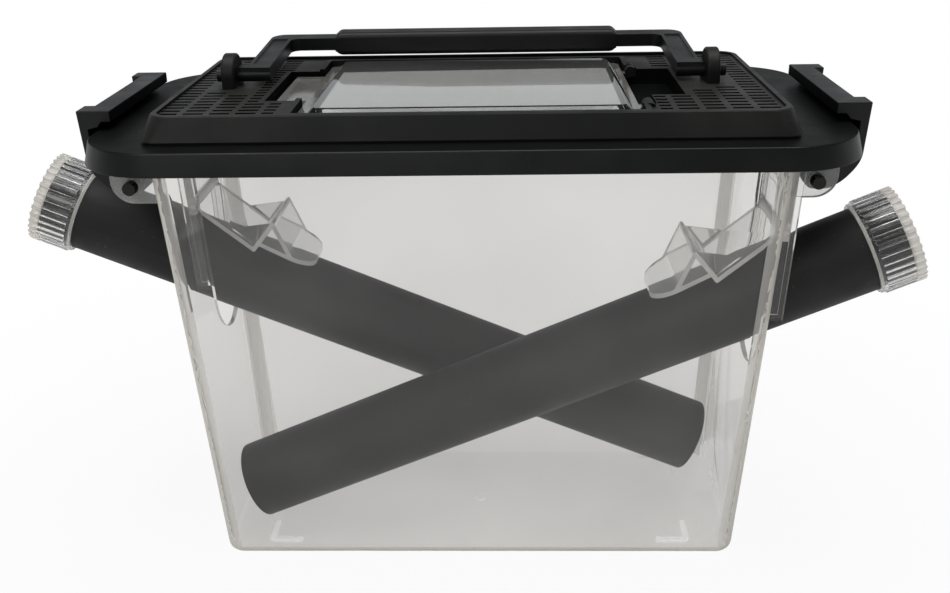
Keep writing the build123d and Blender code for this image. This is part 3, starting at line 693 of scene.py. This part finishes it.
class KEEPER_OT_stage(bpy.types.Operator):
    """Adds the floor, the studio light and the camera"""

    bl_idname = "keeper_box.stage"
    bl_label = "Stage"

    def execute(self, context):
        select_only()
        bpy.ops.mesh.primitive_plane_add(size=sizes().floor_size, location=(0, 0, -0.2 * MM))
        floor = settle(context.object)
        floor.name = "studio_floor"
        dress(floor, studio_floor("floor_finish"))
        context.scene.world = self.surround()
        for name, place, aim, size, watts in LAMPS:
            lamp = bpy.data.lights.new(name, "AREA")
            lamp.shape = "RECTANGLE"
            lamp.size, lamp.size_y = size
            lamp.energy = watts
            holder = bpy.data.objects.new(name, lamp)
            holder.location = place
            holder.rotation_euler = (Vector(aim) - Vector(place)).to_track_quat("-Z", "Y").to_euler()
            context.scene.collection.objects.link(holder)
        camera = self.camera()
        context.scene.collection.objects.link(camera)
        context.scene.camera = camera
        context.scene.view_settings.view_transform = "Standard"
        return {"FINISHED"}

    @staticmethod
    def surround():
        """White to the camera. What it lights gets a paler glow from behind and less from overhead."""
        world = bpy.data.worlds.new("studio_world")
        world.use_nodes = True
        nodes, links = world.node_tree.nodes, world.node_tree.links
        pale = nodes["Background"]
        pale.inputs["Color"].default_value = SURROUND
        parts = nodes.new("ShaderNodeSeparateXYZ")
        links.new(nodes.new("ShaderNodeTexCoord").outputs["Generated"], parts.inputs[0])
        level = nodes.new("ShaderNodeMath")
        level.operation = "MULTIPLY"
        for socket, axis, values in ((0, "Y", BEHIND), (1, "Z", OVERHEAD)):
            span = nodes.new("ShaderNodeMapRange")
            span.interpolation_type = "SMOOTHSTEP"
            for key, value in values.items():
                span.inputs[key].default_value = value
            links.new(parts.outputs[axis], span.inputs["Value"])
            links.new(span.outputs["Result"], level.inputs[socket])
        links.new(level.outputs[0], pale.inputs["Strength"])
        white = nodes.new("ShaderNodeBackground")
        white.inputs["Color"].default_value = (1, 1, 1, 1)
        white.inputs["Strength"].default_value = 1.0
        choose = nodes.new("ShaderNodeMixShader")
        links.new(nodes.new("ShaderNodeLightPath").outputs["Is Camera Ray"], choose.inputs["Fac"])
        links.new(pale.outputs["Background"], choose.inputs[1])
        links.new(white.outputs["Background"], choose.inputs[2])
        links.new(choose.outputs["Shader"], nodes["World Output"].inputs["Surface"])
        return world

    @staticmethod
    def camera():
        """Looks down at the front from a little above the lid."""
        yaw, pitch, roll = (math.radians(turn) for turn in (CAMERA_YAW, CAMERA_PITCH, CAMERA_ROLL))
        forward = Vector((math.sin(yaw) * math.cos(pitch), math.cos(yaw) * math.cos(pitch), -math.sin(pitch)))
        right = Vector((math.cos(yaw), -math.sin(yaw), 0))
        down = forward.cross(right)
        across = right * math.cos(roll) + down * math.sin(roll)
        below = down * math.cos(roll) - right * math.sin(roll)
        camera = bpy.data.objects.new("camera", bpy.data.cameras.new("camera"))
        camera.data.lens = CAMERA_LENS
        camera.data.sensor_fit = "HORIZONTAL"
        camera.data.sensor_width = 36.0
        camera.data.clip_end = 50
        turn = Matrix((across, -below, -forward)).transposed().to_4x4()
        camera.matrix_world = Matrix.Translation(CAMERA_PLACE) @ turn
        return camera


class KEEPER_OT_tub(bpy.types.Operator):
    """Dresses the clear tub and its two port plates"""

    bl_idname = "keeper_box.tub"
    bl_label = "Tub"

    def execute(self, context):
        clear, edge, glow = (tuple(tint) for tint in (colours().clear, colours().edge, colours().glow))
        cool, warm, frost = (0.98, 0.98, 1.0), (0.9, 0.88, 0.85), (0.93, 0.9, 0.86)
        wall = clear_plastic("tub_clear", clear, index=1.42, haze=0.035)
        cut = clear_plastic("tub_edge_clear", edge, index=1.42, rough=0.1, milk=0.45)
        frosted = clear_plastic("tub_rail_frosted", frost, index=1.3, rough=0.08, milk=0.38, haze=0.15)
        parts = (
            (side_or_back, clear_plastic("tub_side_clear", clear, index=1.08, haze=0.03)),
            (turned, clear_plastic("tub_turn_clear", clear, index=1.04)),
            (tall_corner, clear_plastic("tub_corner_clear", warm, index=1.08, milk=0.35)),
            (rail_face, frosted),
            (ear_face, clear_plastic("tub_ear_clear", clear, index=1.35, milk=0.16, haze=0.1)),
            # Painted light: a milky warm finish on the outer rim, for the light its rounded edges gather.
            (outer_rim, clear_plastic("tub_rim_painted_light", glow, index=1.42, rough=0.12, milk=0.85)),
            # Painted glow: the front ribs and the mark glow a little and look milky, for the highlights they
            # gather.
            (bright_mark, clear_plastic("tub_rib_painted_glow", cool, index=1.2, rough=0.03, milk=0.3, painted_glow=0.13)),
            (rear_rib, clear_plastic("tub_rear_rib_clear", cool, index=1.04, milk=0.1)),
            (port_edge, cut),
        )
        tub = copy_of("tub", "tub_moulding")
        smooth(tub)
        stand_for(tub, "tub", "box", wall)
        for chosen, material in parts:
            dress_faces(tub, material, chosen)
        sheet = clear_plastic("plate_clear", clear, index=1.35, milk=0.12, haze=0.1)
        for side in ("left", "right"):
            plate = copy_of(f"port_plate_{side}", f"port_plate_{side}_moulding")
            smooth(plate)
            stand_for(plate, f"port_plate_{side}", "box", sheet)
            dress_faces(plate, cut, lambda face: abs(face.normal.x) < 0.6)
        return {"FINISHED"}


class KEEPER_OT_tubes(bpy.types.Operator):
    """Dresses the two dark tubes"""

    bl_idname = "keeper_box.tubes"
    bl_label = "Tubes"

    def execute(self, context):
        matt = tube_plastic("tube_dark")
        for place in ("front", "rear"):
            dress_node(f"tube_{place}", matt)
        return {"FINISHED"}


class KEEPER_OT_caps(bpy.types.Operator):
    """Dresses the two clear fluted caps and scallops their closed ends"""

    bl_idname = "keeper_box.caps"
    bl_label = "Caps"

    def execute(self, context):
        clear = clear_plastic("cap_clear", tuple(colours().cap), index=1.49, scratches=0.2)
        frost = clear_plastic("cap_frost", (0.95, 0.925, 0.885), index=1.4, rough=0.06, milk=0.4)
        for place, way in (("front", 1), ("rear", -1)):
            along = Vector((way * math.cos(TUBE_TILT), 0, math.sin(TUBE_TILT)))
            cap = copy_of(f"cap_{place}", f"cap_{place}_moulding", whole=False)
            reaches = [along.dot(vertex.co) for vertex in cap.data.vertices]
            start, length = min(reaches), max(reaches) - min(reaches)
            mouth = [vertex.co for vertex in cap.data.vertices if along.dot(vertex.co) - start < CAP_MOUTH]
            hub = sum(mouth, Vector()) / len(mouth)
            cut_across(cap, [along * (start + reach) for reach in (CAP_LIP, CAP_FLUTED)], along)
            for vertex in cap.data.vertices:
                reach = along.dot(vertex.co) - start
                radius = (vertex.co - hub - along * reach).length
                if reach > length - CAP_END and GROOVE_NEAR < radius < GROOVE_FAR:
                    vertex.co -= along * SCALLOP
            smooth(cap, CAP_SMOOTH)
            stand_for(cap, f"cap_{place}", f"cap_{place}", clear)
            dress_faces(cap, frost, lambda face: self.plain_band(along.dot(middle(face)) - start))
        return {"FINISHED"}

    @staticmethod
    def plain_band(reach):
        """The lip that goes over the tube, and the frosted band at the closed end."""
        return reach < CAP_LIP or reach > CAP_FLUTED


class KEEPER_OT_flaps(bpy.types.Operator):
    """Dresses the two clear port flaps"""

    bl_idname = "keeper_box.flaps"
    bl_label = "Port flaps"

    def execute(self, context):
        thin = tuple(part**0.5 for part in colours().clear)
        clear = clear_plastic("flap_clear", thin, index=1.12, milk=0.15, haze=0.07)
        edge = clear_plastic("flap_edge_clear", (0.88, 0.87, 0.85), index=1.3, rough=0.12, milk=0.6)
        for side in ("left", "right"):
            flap = copy_of(f"flap_{side}", f"flap_{side}_moulding")
            smooth(flap)
            stand_for(flap, f"flap_{side}", f"flap_{side}", clear)
            dress_faces(flap, edge, self.narrow)
        return {"FINISHED"}

    @staticmethod
    def narrow(face):
        """The flap's cut edges, of which those that face the front or the back are broader."""
        return breadth(face) < (FLAP_EDGE_FRONT if abs(face.normal.y) > 0.5 else FLAP_EDGE)


class KEEPER_OT_lid(bpy.types.Operator):
    """Makes the two black lid mouldings with softened edges"""

    bl_idname = "keeper_box.lid"
    bl_label = "Lid"

    def execute(self, context):
        frame_black = black_plastic("lid_frame_black", rough=0.32)
        # The deck's veil is partly dust and partly a painted sheen.
        deck_black = black_plastic("deck_black", dusty=1.2, rough=0.46, dust_and_sheen=0.135, gloss=0.26)
        # Painted shade: a duller, less glossy black for the frame's faces that look up, which stands in for
        # the dark reflection of the deck's front face that the flange top shows.
        flange_painted_shade = black_plastic("flange_painted_shade", dusty=0.8, rough=0.45, gloss=0.14)
        rim = copy_of("lid_frame", "lid_frame_moulding")
        soften(rim, sizes().lid_edge)
        stand_for(rim, "lid_frame", "box", frame_black)
        dress_faces(rim, flange_painted_shade, lambda face: face.normal.z > 0.8)
        deck = copy_of("lid_top", "lid_top_moulding")
        round_edges(deck, self.ear_edge, EAR_ROUND)
        soften(deck, sizes().small_edge)
        stand_for(deck, "lid_top", "box", deck_black)
        # Painted shade: the inside of the finger wells gets the duller black, for their deep shade.
        dress_faces(deck, painted_shade_black("well_painted_shade"), self.in_well)
        return {"FINISHED"}

    @staticmethod
    def ear_edge(edge):
        """The outer edges of the two round-topped handle ears, without those of their bores."""
        ends = [vertex.co for vertex in edge.verts]
        heights = [end.z for end in ends]
        if not all(EAR_NEAR < abs(end.x) < EAR_FAR for end in ends):
            return False
        if max(heights) < EAR_TOP or min(heights) < EAR_FOOT or len(edge.link_faces) != 2:
            return False
        if min(math.hypot(end.y, end.z - EAR_PIVOT) for end in ends) < EAR_BORE:
            return False
        return edge.calc_face_angle(0) > EAR_TURN

    @staticmethod
    def in_well(face):
        """The inside of the two finger wells."""
        centre = middle(face)
        return WELL_FLOOR < centre.z < WELL_TOP and WELL_NEAR < abs(centre.x) < WELL_FAR


class KEEPER_OT_door(bpy.types.Operator):
    """Dresses the clear door of the lid"""

    bl_idname = "keeper_box.door"
    bl_label = "Lid door"

    def execute(self, context):
        grey, dull, pale = (0.34, 0.347, 0.337), (0.25, 0.244, 0.225), (0.78, 0.79, 0.8)
        clear = clear_plastic("door_clear", (0.92, 0.93, 0.92), index=1.3, scratches=0.3)
        pane = clear_plastic("door_pane", grey, index=1.49, rough=0.02, milk=0.13, haze=0.1)
        rail = clear_plastic("door_rail", dull, rough=0.08, scratches=1.0, milk=0.4, haze=0.3)
        tab = clear_plastic("door_tab", pale, index=1.4, rough=0.03, scratches=0.6, milk=0.3, haze=0.15)
        knuckle = black_plastic("hinge_black", dusty=0.5, rough=0.42)
        door = copy_of("door", "door_moulding")
        smooth(door)
        stand_for(door, "door", "door", clear)
        dress_faces(door, rail, lambda face: face.normal.z > SQUARE and middle(face).z < WINDOW_FOOT)
        dress_faces(door, tab, lambda face: middle(face).x < TAB_END)
        dress_faces(door, pane, lambda face: face.normal.z > SQUARE and middle(face).z > WINDOW_FOOT)
        dress_faces(door, knuckle, lambda face: middle(face).x > HINGE_START)
        return {"FINISHED"}


class KEEPER_OT_latches(bpy.types.Operator):
    """Makes the two black draw latches with softened edges"""

    bl_idname = "keeper_box.latches"
    bl_label = "Latches"

    def execute(self, context):
        black = black_plastic("latch_black", dusty=0.7, rough=0.4)
        shade = painted_shade_black("latch_painted_shade")
        for side, way in (("left", -1), ("right", 1)):
            piece = copy_of(f"latch_{side}", f"latch_{side}_moulding")
            soften(piece, sizes().lid_edge)
            stand_for(piece, f"latch_{side}", f"latch_{side}", black)
            # Painted shade: the inner faces and the undersides get the duller black, for the shade that falls
            # there.
            dress_faces(piece, shade, lambda face: face.normal.x * way < -0.6 or face.normal.z < -0.5)
        return {"FINISHED"}


class KEEPER_OT_handle(bpy.types.Operator):
    """Makes the bail handle and its grip with softened edges"""

    bl_idname = "keeper_box.handle"
    bl_label = "Handle"

    def execute(self, context):
        black = black_plastic("handle_black", dusty=0.6, rough=0.42)
        for node in ("handle_bail", "handle_grip"):
            piece = copy_of(node, node + "_moulding")
            if node == "handle_grip":
                self.round_ends(piece)
            soften(piece, sizes().small_edge)
            stand_for(piece, node, "handle", black)
        return {"FINISHED"}

    @staticmethod
    def round_ends(grip):
        """Rounds the grip's ends as seen from the front."""
        up = Vector((0, -math.sin(GRIP_TILT), math.cos(GRIP_TILT)))
        heights = [up.dot(vertex.co) for vertex in grip.data.vertices]
        centre, half = (min(heights) + max(heights)) / 2, (max(heights) - min(heights)) / 2
        end = max(vertex.co.x for vertex in grip.data.vertices)
        reaches = [GRIP_ROUND * (1 - math.cos(math.radians(angle))) for angle in GRIP_STATIONS]
        places = [Vector((way * (end - reach), 0, 0)) for reach in reaches for way in (-1, 1)]
        cut_across(grip, places, Vector((1, 0, 0)))
        for vertex in grip.data.vertices:
            near = GRIP_ROUND - (end - abs(vertex.co.x))
            height = up.dot(vertex.co) - centre
            share = (abs(height) - (half - GRIP_SHOULDER)) / GRIP_SHOULDER
            if near > 0 and share > 0:
                drop = GRIP_ROUND - math.sqrt(max(0.0, GRIP_ROUND**2 - near**2))
                vertex.co -= up * math.copysign(min(drop, GRIP_DROP) * share, height)


class KEEPER_PT_panel(bpy.types.Panel):
    """Lists the settings and the steps of the keeper box"""

    bl_idname = "KEEPER_PT_panel"
    bl_label = "Keeper Box"
    bl_space_type = "VIEW_3D"
    bl_region_type = "UI"
    bl_category = "Keeper Box"

    def draw(self, context):
        for group in (sizes(), colours()):
            for name in group.__annotations__:
                self.layout.prop(group, name)
        for step in STEPS:
            self.layout.operator(step.bl_idname)


STEPS = (
    KEEPER_OT_stage,
    KEEPER_OT_tub,
    KEEPER_OT_tubes,
    KEEPER_OT_caps,
    KEEPER_OT_flaps,
    KEEPER_OT_lid,
    KEEPER_OT_door,
    KEEPER_OT_latches,
    KEEPER_OT_handle,
)
CLASSES = (KeeperBoxSizes, KeeperBoxColours, *STEPS, KEEPER_PT_panel)


def register():
    for each in CLASSES:
        bpy.utils.register_class(each)
    bpy.types.Scene.keeper_box_sizes = PointerProperty(type=KeeperBoxSizes)
    bpy.types.Scene.keeper_box_colours = PointerProperty(type=KeeperBoxColours)


def unregister():
    del bpy.types.Scene.keeper_box_colours
    del bpy.types.Scene.keeper_box_sizes
    for each in reversed(CLASSES):
        bpy.utils.unregister_class(each)


def main():
    register()
    for step in STEPS:
        group, name = step.bl_idname.split(".")
        getattr(getattr(bpy.ops, group), name)()
    select_only()


if __name__ == "__main__":
    main()
